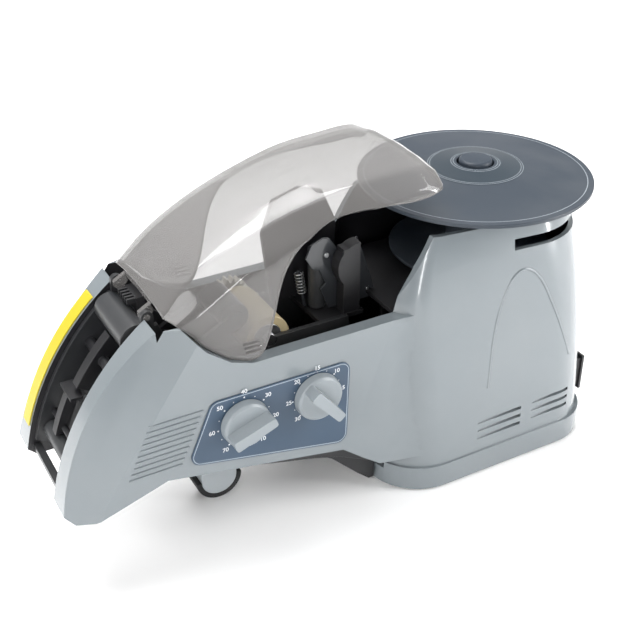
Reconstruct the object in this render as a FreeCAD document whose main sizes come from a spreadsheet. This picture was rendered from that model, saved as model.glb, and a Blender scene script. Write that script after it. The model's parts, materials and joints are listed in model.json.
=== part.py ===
import FreeCAD, Part
import math
import os
import re

import Sketcher

# Desk-top electric tape dispenser. A roll of tape lies flat on a reel inside the round tower, twists
# a quarter turn through the open cavity, and is driven out of the beak, where a blade cuts it.
# +X runs from the beak to the tower, +Z is up, and -Y is the side with the two dials.

SIZES = {
    "Reel": {
        "reel_x": (87, "reel axis behind the origin"),
        "lid_radius": (58, "reel lid, outer radius"),
        "lid_rim_low": (139, "underside of the lid's rim"),
        "lid_skin": (2, "thickness of the lid"),
        "lid_rise": (6.2, "from the lid's rim up to its centre"),
        "lid_land": (4.6, "flat ring at the lid's rim"),
        "hub_radius": (12.3, "reel hub, fits a one inch tape core"),
        "lid_crown": (170, "radius of the lid's crown"),
        "cap_gap": (1, "groove between the lid and its release cap"),
        "hub_top": (134.5, "top of the hub and the spindle"),
        "bush_radius": (7, "bush under the spindle"),
        "flange_radius": (41, "lower flange of the reel"),
        "flange_low": (101.5, "underside of the lower flange"),
        "flange_thick": (1.8, "thickness of the lower flange"),
        "spindle_radius": (4, "reel spindle"),
        "cap_radius": (8.2, "release cap in the middle of the lid"),
        "cap_travel": (2.5, "how far the release cap presses in"),
    },
    "Housing": {
        "arm_half": (40, "half the width of the arm over its walls"),
        "wall": (2.4, "wall of the side shells"),
        "ledge_top": (98, "flat top of the arm's walls"),
        "ledge_wide": (6.7, "width of that flat top"),
        "ledge_thick": (2.6, "thickness of the ledge"),
        "channel_half": (19.7, "half the gap between the beak's cheeks"),
        "cheek_skin": (2.4, "inner skin of a cheek"),
        "beak_front": (145, "beak in front of the origin"),
        "beak_low": (40, "underside of the beak"),
        "beak_top": (122, "highest point of the beak's cheeks"),
        "beak_curve": (129, "radius of the beak's front"),
        "beak_taper": (0.405, "how fast the cheeks narrow towards the front"),
        "taper_foot": (133, "where the taper starts, at the beak's underside"),
        "taper_lean": (0.694, "how far the start of the taper leans back per unit of height"),
        "tower_front": (13, "front of the tower's base"),
        "tower_rear": (140, "back of the tower's base"),
        "tower_half": (54.5, "half the width of the tower's base"),
        "tower_low": (1, "lower edge of the shells"),
        "tower_top": (133, "upper edge of the tower"),
        "crown_half": (46, "half the width of the tower at its top"),
        "base_step": (14, "height of the step round the tower's base"),
        "step_deep": (1.2, "how far the tower stands in above that step"),
        "floor_top": (98, "floor of the reel chamber"),
        "floor_thick": (2.2, "thickness of that floor"),
    },
    "Cover": {
        "cover_skin": (2.2, "wall of the clear cover"),
        "cover_front": (91, "front edge of the cover in front of the origin"),
        "cover_rear": (43, "back edge of the cover"),
        "cover_top": (170, "top of the cover"),
        "cover_half": (39.4, "half the width of the cover's skirt"),
        "cover_gap": (0.5, "gap between the cover and the walls under it"),
        "hinge_x": (94.5, "cover hinge in front of the origin"),
        "hinge_z": (121.5, "height of the cover hinge"),
        "hinge_pin": (1.5, "radius of the hinge pins"),
        "lug_y": (13.9, "inner face of a hinge lug"),
        "lug_thick": (2.5, "thickness of a hinge lug"),
        "ear_radius": (2.8, "ears of the chassis plates round the hinge pins"),
    },
    "Panel": {
        "panel_thick": (0.7, "thickness of the dial panel"),
        "dial_x_a": (61.6, "length dial in front of the origin"),
        "dial_z_a": (69.4, "height of the length dial"),
        "dial_x_b": (25, "width dial in front of the origin"),
        "dial_z_b": (71.2, "height of the width dial"),
        "knob_radius": (11.6, "foot of a knob"),
        "knob_depth": (4.6, "foot of a knob, from front to back"),
        "grip_thick": (5.6, "grip bar of a knob, across"),
        "grip_tall": (7.2, "grip bar of a knob, how far it stands out"),
        "stem_radius": (3, "shaft of a dial"),
        "pot_radius": (8.5, "can of a dial's potentiometer"),
    },
    "Drive": {
        "plate_half": (19.4, "outer face of a chassis plate"),
        "plate_thick": (2.5, "thickness of a chassis plate"),
        "run_gap": (0.05, "radial gap of a shaft in its hole"),
        "side_gap": (0.5, "gap between a roller's end and its plate"),
        "top_roll_x": (99.5, "top front roller in front of the origin"),
        "top_roll_z": (110.5, "height of the top front roller"),
        "top_roll": (7, "radius of the top front roller"),
        "low_roll_x": (132.5, "lower front roller in front of the origin"),
        "low_roll_z": (54.5, "height of the lower front roller"),
        "low_roll": (4.5, "radius of the lower front roller"),
        "journal": (2, "journals of the front rollers"),
        "feed_x": (37, "feed roller in front of the origin"),
        "feed_z": (92, "height of the feed roller"),
        "feed_roll": (11, "radius of the feed roller's sleeve"),
        "feed_core": (7, "radius under the sleeve"),
        "feed_axle": (3, "axle of the feed roller"),
        "tooth": (1, "module of the gears"),
        "motor_teeth": (12, "teeth of the motor pinion"),
        "idle_teeth": (28, "teeth of the idler gear"),
        "feed_teeth": (20, "teeth of the feed gear"),
        "mesh_angle": (-49, "direction from the feed roller to the motor, degrees"),
        "gear_low": (24, "near face of the gears"),
        "gear_wide": (5, "width of the gears"),
        "motor_radius": (12, "feed motor"),
        "nip_angle": (41.7, "direction from the feed roller up to the pinch roller, degrees"),
        "nip_gap": (0.49, "gap between the feed roller and the pinch roller"),
        "pinch_roll": (7, "radius of the pinch roller"),
        "arm_pivot_x": (76, "pivot of the pinch arm in front of the origin"),
        "arm_pivot_z": (91, "height of the pinch arm's pivot"),
        "cutter_x": (100, "pivot of the cutter lever in front of the origin"),
        "cutter_z": (62, "height of the cutter lever's pivot"),
        "lever_x": (130.5, "pivot of the tape lever in front of the origin"),
        "lever_z": (63, "height of the tape lever's pivot"),
        "lever_pin": (1.5, "pivot pin of the tape lever"),
        "shaft": (1.5, "motor shaft"),
        "idle_pin": (2.5, "pin of the idler gear"),
        "deck_top": (93, "deck between the chassis plates"),
    },
    "Base": {
        "foot_x": (61, "front foot in front of the origin"),
        "foot_radius": (12, "rounded end of the front foot"),
        "foot_wide": (13, "front foot, across"),
        "pad_thick": (2.6, "rubber round the front foot"),
        "plate_low": (1.6, "underside of the base plate"),
        "base_thick": (2.2, "thickness of the base plate"),
        "foot_disc": (6, "rubber feet under the tower"),
        "screw_radius": (1.5, "screws of the base plate"),
        "boss_radius": (4, "screw bosses in the tower"),
        "boss_y": (47.6, "screw bosses off the middle"),
        "boss_front": (42, "front screw bosses behind the origin"),
        "boss_rear": (112, "rear screw bosses behind the origin"),
        "switch_y": (32, "power switch off the middle"),
        "switch_z": (28, "height of the power switch"),
        "inlet_y": (24, "power inlet off the middle"),
        "inlet_z": (22, "height of the power inlet"),
    },
}

doc = FreeCAD.newDocument("tape_dispenser")
sheet = doc.addObject("Spreadsheet::Sheet", "Sizes")
ALIASES = set()
row = 1
for group, values in SIZES.items():
    sheet.set(f"A{row}", group)
    row += 1
    for alias, (value, meaning) in values.items():
        sheet.set(f"A{row}", meaning)
        sheet.set(f"B{row}", str(value))
        sheet.setAlias(f"B{row}", alias)
        ALIASES.add(alias)
        row += 1
doc.recompute()

TURNS = {
    "X": FreeCAD.Rotation(FreeCAD.Vector(0, 1, 0), 90),
    "Y": FreeCAD.Rotation(FreeCAD.Vector(1, 0, 0), -90),
    "Z": FreeCAD.Rotation(),
}
made = {}


def formula(text):
    """A formula in plain names, with each name read from the sheet."""
    return re.sub(r"[a-z][a-z_]+", lambda m: "Sizes." + m[0] if m[0] in ALIASES else m[0], str(text))


def size(text):
    """What a formula comes to now."""
    return float(sheet.evalExpression(formula(text)))


def bind(thing, **properties):
    """Ties properties of an object to formulas; a double underscore stands for a dot."""
    for name, text in properties.items():
        thing.setExpression(name.replace("__", "."), formula(text))


def place(thing, x="0", y="0", z="0"):
    bind(thing, Placement__Base__x=x, Placement__Base__y=y, Placement__Base__z=z)
    return thing


def keep(thing, node):
    """Names an object as a node of the dispenser."""
    thing.Label = node
    made[node] = thing
    return thing


def box(x, y, z):
    """A block between low and high formulas along each axis."""
    block = doc.addObject("Part::Box", "block")
    bind(block, Length=f"({x[1]}) - ({x[0]})", Width=f"({y[1]}) - ({y[0]})", Height=f"({z[1]}) - ({z[0]})")
    return place(block, x[0], y[0], z[0])


def rod(axis, radius, span, at):
    """A round bar along an axis, from span[0] to span[1]; at gives its other two coordinates."""
    bar = doc.addObject("Part::Cylinder", "rod")
    bind(bar, Radius=radius, Height=f"({span[1]}) - ({span[0]})")
    bar.Placement = FreeCAD.Placement(FreeCAD.Vector(), TURNS[axis])
    spots = {"X": (span[0], *at), "Y": (at[0], span[0], at[1]), "Z": (*at, span[0])}
    return place(bar, *spots[axis])


def fuse(*things):
    joined = doc.addObject("Part::MultiFuse", "joined")
    joined.Shapes = list(things)
    return joined


def cut(base, *tools):
    rest = doc.addObject("Part::Cut", "cut")
    rest.Base = base
    rest.Tool = tools[0] if len(tools) == 1 else fuse(*tools)
    return rest


def common(first, second):
    shared = doc.addObject("Part::Common", "shared")
    shared.Base = first
    shared.Tool = second
    return shared


def fixed(shape, name="surface"):
    """A shape that Part's own functions made from the sheet's values."""
    thing = doc.addObject("Part::Feature", name)
    thing.Shape = shape
    return thing


def outline(body, plane, points):
    """A closed sketch on one of the body's own planes. Each point is a pair of formulas, and a third
    item makes the edge to the next point an arc of that radius, bulging to the left of its chord."""
    sketch = body.newObject("Sketcher::SketchObject", "outline")
    origin = [o for o in body.Origin.OriginFeatures if o.Role == plane + "_Plane"][0]
    sketch.AttachmentSupport = [(origin, "")]
    sketch.MapMode = "FlatFace"
    corners = [FreeCAD.Vector(size(p[0]), size(p[1]), 0) for p in points]
    for n, point in enumerate(points):
        start, end = corners[n], corners[(n + 1) % len(points)]
        if len(point) == 3:
            radius = size(point[2])
            half = (end - start).Length / 2
            left = FreeCAD.Vector(start.y - end.y, end.x - start.x, 0).normalize()
            centre = (start + end) / 2 - left * math.sqrt(radius**2 - half**2)
            circle = Part.Circle(centre, FreeCAD.Vector(0, 0, 1), radius)
            angles = [math.atan2(p.y - centre.y, p.x - centre.x) for p in (end, start)]
            sketch.addGeometry(Part.ArcOfCircle(circle, *angles), False)
        else:
            sketch.addGeometry(Part.LineSegment(start, end), False)
    ends = [(2, 1) if len(point) == 3 else (1, 2) for point in points]
    for n, point in enumerate(points):
        after = (n + 1) % len(points)
        sketch.addConstraint(Sketcher.Constraint("Coincident", n, ends[n][1], after, ends[after][0]))
        for kind, item, now in (("DistanceX", point[0], corners[n].x), ("DistanceY", point[1], corners[n].y)):
            spot = sketch.addConstraint(Sketcher.Constraint(kind, -1, 1, n, ends[n][0], now))
            sketch.setExpression(f"Constraints[{spot}]", formula(item))
        if len(point) == 3:
            spot = sketch.addConstraint(Sketcher.Constraint("Radius", n, size(point[2])))
            sketch.setExpression(f"Constraints[{spot}]", formula(point[2]))
    return sketch


def slab(plane, points, low, high):
    """A padded outline between two heights along the plane's own axis."""
    body = doc.addObject("PartDesign::Body", "slab")
    sketch = outline(body, plane, points)
    pad = body.newObject("PartDesign::Pad", "pad")
    pad.Profile = sketch
    bind(pad, Length=f"({high}) - ({low})")
    pad.Reversed = plane == "XZ"
    along = {"XY": "z", "XZ": "y", "YZ": "x"}[plane]
    return place(body, **{along: low})


def turned(points, axis="Z", **at):
    """A piece turned about an axis: each point is a radius and a height along the axis."""
    body = doc.addObject("PartDesign::Body", "turned")
    sketch = outline(body, "XZ", points)
    lathe = body.newObject("PartDesign::Revolution", "lathe")
    lathe.Profile = sketch
    lathe.ReferenceAxis = (sketch, ["V_Axis"])
    lathe.Angle = 360
    body.Placement = FreeCAD.Placement(FreeCAD.Vector(), TURNS[axis])
    return place(body, **at)


# ------------------------------------------------------------------ housing blocks
# The arm is a deep box cut from one side outline; the beak's cheeks narrow to the front, and a
# gusset on each side carries the arm's wall into the wider, tapering tower.


def arm_outline(low, top, front):
    return [
        (f"-{front}", f"{low} + 4", "beak_curve"),
        ("-95", "beak_top"),
        ("-86", "beak_top - 0.5"),
        ("-77", "110"),
        ("-66", "101.5"),
        ("-56", top),
        ("30", top),
        ("30", "20"),
        ("13", "18"),
        ("0", "26"),
        ("-10", "33"),
        ("-99", "50"),
        ("-131", low),
        (f"-{front} + 4", low),
    ]


arm_block = slab("XZ", arm_outline("beak_low", "ledge_top", "beak_front"), "-arm_half", "arm_half")


def taper_wedge(side, inset):
    """What is cut off one side of the beak so that it narrows towards its front."""
    foot = -size("taper_foot")
    lean = size("taper_lean")
    reach = 60
    near = size("arm_half") - inset
    low, high = size("beak_low") - 10, size("beak_top") + 10
    start = foot - 10 * lean
    corners = [(start, near), (start - reach, near - reach * size("beak_taper")), (start - reach, 80), (start, 80)]
    face = Part.Face(Part.makePolygon([FreeCAD.Vector(x, side * y, low) for x, y in corners + corners[:1]]))
    return fixed(face.extrude(FreeCAD.Vector(lean, 0, 1) * (high - low)), "taper_wedge")


def section(z, front, rear, half_front, half_rear, round_front, round_rear):
    """A closed plan outline at one height, with its own corner radii at the front and at the back."""
    corners = [(front, -half_front), (rear, -half_rear), (rear, half_rear), (front, half_front)]
    radii = [round_front, round_rear, round_rear, round_front]
    edges = []
    last = None
    first = None
    for n, (x, y) in enumerate(corners):
        here = FreeCAD.Vector(x, y, z)
        before = FreeCAD.Vector(*corners[n - 1], z)
        after = FreeCAD.Vector(*corners[(n + 1) % 4], z)
        to_before = (before - here).normalize()
        to_after = (after - here).normalize()
        half_angle = to_before.getAngle(to_after) / 2
        step = radii[n] / math.tan(half_angle)
        start = here + to_before * step
        end = here + to_after * step
        bisector = (to_before + to_after).normalize()
        centre = here + bisector * (radii[n] / math.sin(half_angle))
        middle = centre - bisector * radii[n]
        if last is not None:
            edges.append(Part.LineSegment(last, start).toShape())
        else:
            first = start
        edges.append(Part.Arc(start, middle, end).toShape())
        last = end
    edges.append(Part.LineSegment(last, first).toShape())
    return Part.Wire(edges)


def tower_sections(inset, low, high):
    """Plan outlines of the tower from its base to its top, set in by a wall. It tapers slowly up to
    about half its height and then ever faster, while its corners round out to a ring."""
    step, top = size("base_step"), size("tower_top")
    crown = size("crown_half")
    front, rear, half = size("tower_front"), size("tower_rear"), size("tower_half")
    wires = [section(z, front + inset, rear - inset, half - inset, half - inset, 28 - inset, 25 - inset)
             for z in (low, step)]
    for n in range(8):
        z = step + (top - step) * n / 7
        rise = n / 7
        pull = 0.35 * rise + 0.65 * rise**2.6
        start = size("step_deep")
        half_now = half - start - (half - start - crown) * pull
        nose = half - start - (half - start - 35.5) * (0.45 * rise + 0.55 * rise**1.8)
        x_front = front + start / 2 + 20 * rise**4.5
        x_rear = rear - start - (rear - start - size("reel_x") - crown) * pull
        wires.append(
            section(high if n == 7 else z, x_front + inset, x_rear - inset, nose - inset, half_now - inset,
                    28 - 18 * rise**2 - min(inset, 3), 26 + (crown - 34) * pull - inset)
        )
    return wires


def loft(wires):
    """A solid through plan outlines: a straight foot, and a smooth body above the step."""
    return Part.makeLoft(wires[:2], True, True).fuse(Part.makeLoft(wires[2:], True, False))


tower_block = fixed(loft(tower_sections(0, size("tower_low"), size("tower_top"))), "tower_block")


def gusset(side, inset, name):
    """The slanted facet that carries the arm's flat side out to the tower's."""
    half = size("arm_half") - inset
    wires = []
    for z, crease, reach, out in ((21, -14, 42, 52.8), (97.9, 16.4, 60, 43.4)):
        points = [(crease, half), (reach, out - inset), (reach, 10), (crease, 10)]
        wires.append(Part.makePolygon([FreeCAD.Vector(x, side * y, z) for x, y in points + points[:1]]))
    return fixed(Part.makeLoft(wires, True, True), name)


under_arm = slab(
    "XZ",
    [("-20", "0"), ("-20", "34.9"), ("-10", "33"), ("0", "26"), ("13", "18"), ("13", "0")],
    "-70",
    "70",
)
gussets = cut(fuse(gusset(-1, 0, "near_gusset"), gusset(1, 0, "far_gusset")), under_arm)
beak_and_arm = cut(arm_block, taper_wedge(-1, 0), taper_wedge(1, 0))
solid_housing = fuse(beak_and_arm, gussets, tower_block)

# ------------------------------------------------------------------ housing hollows
arm_hollow = slab(
    "XZ",
    [
        ("-96", "30"),
        ("-96", "ledge_top - ledge_thick"),
        ("30", "ledge_top - ledge_thick"),
        ("30", "10"),
        ("-10", "10"),
    ],
    "wall - arm_half",
    "arm_half - wall",
)
tower_hollow = fixed(
    loft(tower_sections(size("wall"), size("tower_low") - 1, size("tower_top") + 0.01)), "tower_hollow"
)
gusset_hollow = cut(
    fuse(gusset(-1, size("wall"), "near_hollow"), gusset(1, size("wall"), "far_hollow")),
    box(("-40", "70"), ("-70", "70"), ("ledge_top - ledge_thick", "130")),
)


def cheek_hollow(side):
    """The pocket inside one cheek of the beak, open to the arm behind it."""
    inner = size("channel_half + cheek_skin")
    outer = size("arm_half - wall")
    low, high = size("beak_low + wall + 3"), size("beak_top") - 25
    lean = size("taper_lean")
    crease = -size("taper_foot") + lean * (low - size("beak_low"))
    front = -size("beak_front") + 7
    drop = (crease - front) * size("beak_taper")
    points = [(front, inner), (front, outer - drop), (crease, outer), (crease + 60, outer), (crease + 60, inner)]
    face = Part.Face(Part.makePolygon([FreeCAD.Vector(x, side * y, low) for x, y in points + points[:1]]))
    pocket = fixed(face.extrude(FreeCAD.Vector(lean, 0, 1) * (high - low)), "cheek_pocket")
    return common(pocket, box(("-150", "-95.99"), ("-60", "60"), ("0", "130")))


channel = box(("-160", "-95.99"), ("-channel_half", "channel_half"), ("0", "150"))
arm_mouth = box(
    ("-96", "30"), ("ledge_wide - arm_half", "arm_half - ledge_wide"), ("ledge_top - ledge_thick - 1", "150")
)
arm_floor_gap = box(("-96", "13"), ("wall - arm_half", "arm_half - wall"), ("0", "60"))
chamber_mouth = slab(
    "XZ",
    [
        ("-30", "ledge_top"),
        ("17", "ledge_top"),
        ("41.5", "tower_top + 4"),
        ("41.5", "tower_top + 20"),
        ("-30", "tower_top + 20"),
    ],
    "-60",
    "60",
)
front_step = box(
    ("tower_front - 1", "60"), ("ledge_wide - arm_half", "arm_half - ledge_wide"),
    ("30", "ledge_top - ledge_thick")
)

# Louvres of the tower's two sides, in a front and a rear group of three.
louvres = [
    box((f"{x}", f"{x} + {length}"), ("-70", "70"), (f"{z} + {4.6} * {n}", f"{z} + {4.6} * {n} + 1.8"))
    for x, z, length in ((61, 21, 27), (95, 22, 24))
    for n in range(3)
]
# The slot under the lid at the back of the tower's near side, where the tape core is seen.
core_slot = slab(
    "YZ",
    [("-60", "119"), ("-60", "124.5"), ("-27", "124.5"), ("-27", "119")],
    "reel_x - 6",
    "reel_x + 60",
)
switch_hole = box(
    ("tower_rear - 12", "tower_rear + 5"), ("-switch_y - 6.6", "-switch_y + 6.6"), ("switch_z - 9", "switch_z + 9")
)
inlet_hole = box(
    ("tower_rear - 12", "tower_rear + 5"), ("inlet_y - 5", "inlet_y + 5"), ("inlet_z - 5", "inlet_z + 5")
)
stem_holes = [
    rod("Y", "stem_radius + 0.6", ("-arm_half - 5", "-arm_half + 10"), (f"-dial_x_{n}", f"dial_z_{n}"))
    for n in "ab"
]

bosses = []
boss_bores = []
for x in ("boss_front", "boss_rear"):
    for side in ("-", ""):
        bosses.append(rod("Z", "boss_radius", ("plate_low + base_thick", "14"), (x, f"{side}boss_y")))
        boss_bores.append(rod("Z", "screw_radius + 0.02", ("0", "12"), (x, f"{side}boss_y")))

hollow_housing = cut(
    solid_housing, arm_hollow, tower_hollow, gusset_hollow, channel, cheek_hollow(-1), cheek_hollow(1),
    arm_mouth, arm_floor_gap, chamber_mouth, front_step, *louvres, core_slot,
)
housing = cut(
    fuse(hollow_housing, *[common(boss, tower_block) for boss in bosses]),
    switch_hole, inlet_hole, *stem_holes, *boss_bores,
)
keep(common(housing, box(("-200", "200"), ("-100", "0"), ("-10", "200"))), "near_side_shell")
keep(common(housing, box(("-200", "200"), ("0", "100"), ("-10", "200"))), "far_side_shell")

# ------------------------------------------------------------------ clear cover
# A smoked shell: a crowned top between two soft creases, a narrow skirt behind, and a tab on each
# side in front, which drops between the cheeks to the hinge pins.
COVER_RIBS = [
    (-91, 125, 27.6, 119, 33),
    (-76, 139.5, 26, 128, 36.5),
    (-56, 151, 26, 140, 38.5),
    (-36, 158, 27.2, 148, 39.2),
    (-8, 164.5, 29.6, 155, 39.4),
    (30, 167.3, 30, 159, 39.4),
    (43, 162.5, 28.3, 156, 37.2),
]


def cover_solid(inset):
    """The cover's outer or inner form, from ribs across it."""
    wires = []
    for x, z, half, shoulder, skirt in COVER_RIBS:
        crown = z + 2.4 - inset
        outline_points = [
            (-skirt + inset, 90), (-skirt + inset, shoulder - inset), (-half + inset * 0.6, z - inset),
            (0, crown), (half - inset * 0.6, z - inset), (skirt - inset, shoulder - inset), (skirt - inset, 90),
        ]
        wires.append(Part.makePolygon([FreeCAD.Vector(x, y, h) for y, h in outline_points + outline_points[:1]]))
    return Part.makeLoft(wires, True, True)


cover_side = slab(
    "XZ",
    [
        ("-cover_front", "124.5"),
        ("-cover_front", "180"),
        ("cover_rear", "180"),
        ("cover_rear", "158"),
        ("24", "155.5"),
        ("0", "157.5"),
        ("-14", "156"),
        ("-26", "151"),
        ("-36", "142"),
        ("-42", "129"),
        ("-46", "116"),
        ("-50", "ledge_top + cover_gap + 2"),
        ("-57", "ledge_top + cover_gap"),
        ("-66", "101.5 + cover_gap"),
        ("-77 + cover_gap", "110 + cover_gap"),
        ("-86", "beak_top"),
    ],
    "-60",
    "60",
)
cover_hollow = cut(
    fixed(cover_solid(size("cover_skin")), "cover_hollow"),
    box(("cover_rear - cover_skin", "100"), ("-60", "60"), ("0", "200")),
)
hinge_lugs = [
    slab(
        "XZ",
        [("-hinge_x - 2.3", "hinge_z + 1.2"), ("-hinge_x - 2.3", "hinge_z - 1.2"), ("-hinge_x - 1", "hinge_z - 2.3"),
         ("-hinge_x + 1.6", "hinge_z - 2.3"), ("-cover_front + 4.5", "126.8"), ("-cover_front + 4.5", "130"),
         ("-cover_front", "126")],
        side,
        f"{side} + lug_thick",
    )
    for side in ("-lug_y - lug_thick", "lug_y")
]
hinge_pins = [
    rod("Y", "hinge_pin", (low, high), ("-hinge_x", "hinge_z"))
    for low, high in (("-plate_half + 0.1", "-lug_y"), ("lug_y", "plate_half - 0.1"))
]
cover_lugs = common(fuse(*hinge_lugs, *hinge_pins), fuse(fixed(cover_solid(0), "cover_form"), box(
    ("-hinge_x - 4", "-cover_front + 2.2"), ("-40", "40"), ("110", "126.2"))))
clear_shell = fuse(cut(common(fixed(cover_solid(0), "cover_form"), cover_side), cover_hollow), cover_lugs)
keep(clear_shell, "clear_cover")

# ------------------------------------------------------------------ base, feet and panel
base_plan = Part.Face(section(size("plate_low"), *[size("tower_front + wall + 0.3"), size("tower_rear - wall - 0.3")],
                              *[size("tower_half - wall - 0.3")] * 2, 25.3, 22.3))
base_sheet = fixed(base_plan.extrude(FreeCAD.Vector(0, 0, size("base_thick"))), "base_sheet")
screw_spots = [(x, f"{side}boss_y") for x in ("boss_front", "boss_rear") for side in ("-", "")]
keep(cut(base_sheet, *[rod("Z", "screw_radius + 0.1", ("0", "6"), spot) for spot in screw_spots]), "base_plate")
keep(
    fuse(*[
        fuse(rod("Z", "screw_radius", ("plate_low", "11"), spot),
             rod("Z", "screw_radius * 1.9", ("plate_low - 0.8", "plate_low"), spot))
        for spot in screw_spots
    ]),
    "base_screws",
)
keep(
    fuse(*[
        rod("Z", "foot_disc", ("0", "plate_low"), (x, y))
        for x in ("boss_front - 7", "boss_rear + 10") for y in ("-34", "34")
    ]),
    "rubber_feet",
)
under_pan = slab(
    "XZ",
    [("-95.5", "51.5"), ("-95.5", "48"), ("-60", "40.5"), ("-24", "31"), ("-10", "26.5"),
     ("tower_front - 0.4", "15"), ("tower_front - 0.4", "20.2"), ("-2", "28.6"), ("-12", "35.5")],
    "wall + 0.3 - arm_half",
    "arm_half - wall - 0.3",
)
under_nose = slab(
    "XZ",
    [("-24", "31"), ("-12", "23"), ("3", "8"), ("9.5", "2.2"), ("tower_front - 0.4", "2.2"),
     ("tower_front - 0.4", "15.5"), ("-10", "27")],
    "-33",
    "33",
)
arm_under_cover = keep(fuse(under_pan, under_nose), "arm_under_cover")
foot_end = common(
    rod("Y", "foot_radius", ("-foot_wide / 2", "foot_wide / 2"), ("-foot_x", "foot_radius")),
    box(("-foot_x - 20", "-foot_x + 20"), ("-10", "10"), ("-1", "foot_radius")),
)
foot_core = rod("Y", "foot_radius - pad_thick", ("-foot_wide / 2", "foot_wide / 2"), ("-foot_x", "foot_radius"))
keep(cut(foot_end, foot_core), "front_foot_pad")
leg = box(
    ("-foot_x - foot_radius + pad_thick", "-foot_x + foot_radius - pad_thick"),
    ("-foot_wide / 2", "foot_wide / 2"), ("foot_radius", "46"),
)
leg_space = box(("-95", "0"), ("-20", "20"), ("43", "60"))
keep(cut(fuse(foot_core, leg), arm_under_cover, leg_space), "front_foot")


def rounded(body, radius, direction):
    """Rounds the edges of a padded outline that run along its pad."""
    doc.recompute()
    pad = body.Tip
    names = []
    for n, edge in enumerate(pad.Shape.Edges, 1):
        run = edge.tangentAt(edge.FirstParameter)
        if abs(run.dot(direction)) > 0.999 and edge.Curve.TypeId == "Part::GeomLine":
            names.append(f"Edge{n}")
    fillet = body.newObject("PartDesign::Fillet", "corners")
    fillet.Base = (pad, names)
    bind(fillet, Radius=radius)
    return body


ALONG_Y = FreeCAD.Vector(0, 1, 0)
panel = slab(
    "XZ",
    [("-76.6", "84.4"), ("-89.6", "54.3"), ("-8.6", "37.8"), ("-7.2", "84.2")],
    "-arm_half - panel_thick",
    "-arm_half",
)
rounded(panel, "5", ALONG_Y)
keep(
    cut(panel, *[rod("Y", "stem_radius + 0.6", ("-arm_half - 2", "-arm_half + 2"), (f"-dial_x_{n}", f"dial_z_{n}"))
                 for n in "ab"]),
    "control_panel",
)
strip_outer = rod("Y", "beak_curve + 0.7", ("channel_half + 1.2", "channel_half + 9.2"), ("-18.6", "18.0"))
strip_inner = rod("Y", "beak_curve + 0.2", ("0", "60"), ("-18.6", "18.0"))
strip_ring = common(cut(strip_outer, strip_inner), box(("-144.5", "-100"), ("0", "60"), ("56", "114")))
keep(strip_ring, "caution_strip")

# ------------------------------------------------------------------ dials
for letter, name, turn in (("a", "length", 20), ("b", "width", -50)):
    spot = (f"-dial_x_{letter}", f"dial_z_{letter}")
    face = "-arm_half - panel_thick - 0.4"
    knob_foot = turned(
        [("0", "0"), ("0", "-knob_depth"), ("knob_radius - 1.4", "-knob_depth"),
         ("knob_radius - 0.4", "-knob_depth + 1"), ("knob_radius", "0")],
        "Y", x=spot[0], y=face, z=spot[1],
    )
    grip = slab(
        "XZ",
        [("-knob_radius + 1", "-grip_thick / 2"), ("knob_radius - 0.6", "-grip_thick / 2 + 0.5"),
         ("knob_radius - 0.6", "grip_thick / 2 - 0.5"), ("-knob_radius + 1", "grip_thick / 2")],
        "0", "grip_tall + 1",
    )
    rounded(grip, "1.2", ALONG_Y)
    grip.Placement = FreeCAD.Placement(FreeCAD.Vector(), FreeCAD.Rotation(FreeCAD.Vector(0, -1, 0), turn))
    place(grip, spot[0], f"{face} - knob_depth - grip_tall", spot[1])
    stem_end = f"{face} - knob_depth + 1"
    keep(cut(fuse(knob_foot, grip), rod("Y", "stem_radius", (stem_end, face), spot)), f"{name}_knob")
    keep(rod("Y", "stem_radius", (stem_end, "-arm_half + wall + 7"), spot), f"{name}_dial_shaft")
    can = rod("Y", "pot_radius", ("-arm_half + wall", "-arm_half + wall + 10"), spot)
    keep(cut(can, rod("Y", "stem_radius + run_gap", ("-arm_half", "-arm_half + wall + 7.5"), spot)),
         f"{name}_potentiometer")

# ------------------------------------------------------------------ reel
reel_spot = ("reel_x", "0")
floor_deck = fuse(
    rod("Z", "crown_half - wall - 0.2", ("floor_top - floor_thick", "floor_top"), reel_spot),
    box(("20", "reel_x"), ("-32", "32"), ("floor_top - floor_thick", "floor_top")),
    *[rod("Z", "3.2", ("plate_low + base_thick", "floor_top - floor_thick"), spot)
      for spot in (("58", "-32"), ("58", "32"), ("122", "0"))],
)
keep(cut(floor_deck, rod("Z", "spindle_radius + 0.4", ("80", "110"), reel_spot)), "reel_chamber_floor")
keep(
    cut(rod("Z", "bush_radius", ("floor_top", "flange_low - 0.8"), reel_spot),
        rod("Z", "spindle_radius + run_gap", ("90", "110"), reel_spot)),
    "spindle_bush",
)
keep(
    fuse(
        rod("Z", "spindle_radius", ("floor_top - floor_thick - 6", "hub_top"), reel_spot),
        rod("Z", "bush_radius", ("flange_low - 0.5", "flange_low"), reel_spot),
        rod("Z", "bush_radius", ("floor_top - floor_thick - 2.2", "floor_top - floor_thick - 0.4"), reel_spot),
    ),
    "reel_spindle",
)
keep(
    turned(
        [("spindle_radius", "flange_low"), ("flange_radius", "flange_low"),
         ("flange_radius", "flange_low + flange_thick"), ("hub_radius + 2", "flange_low + flange_thick"),
         ("hub_radius + 2", "flange_low + flange_thick + 0.8"), ("spindle_radius", "flange_low + flange_thick + 0.8")],
        x="reel_x",
    ),
    "reel_flange",
)
keep(
    turned(
        [("spindle_radius", "flange_low + flange_thick + 0.8"), ("hub_radius", "flange_low + flange_thick + 0.8"),
         ("hub_radius", "hub_top - 1"), ("hub_radius - 1", "hub_top"), ("spindle_radius", "hub_top")],
        x="reel_x",
    ),
    "reel_hub",
)
LID_TOP = "lid_rim_low + lid_skin"
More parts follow.
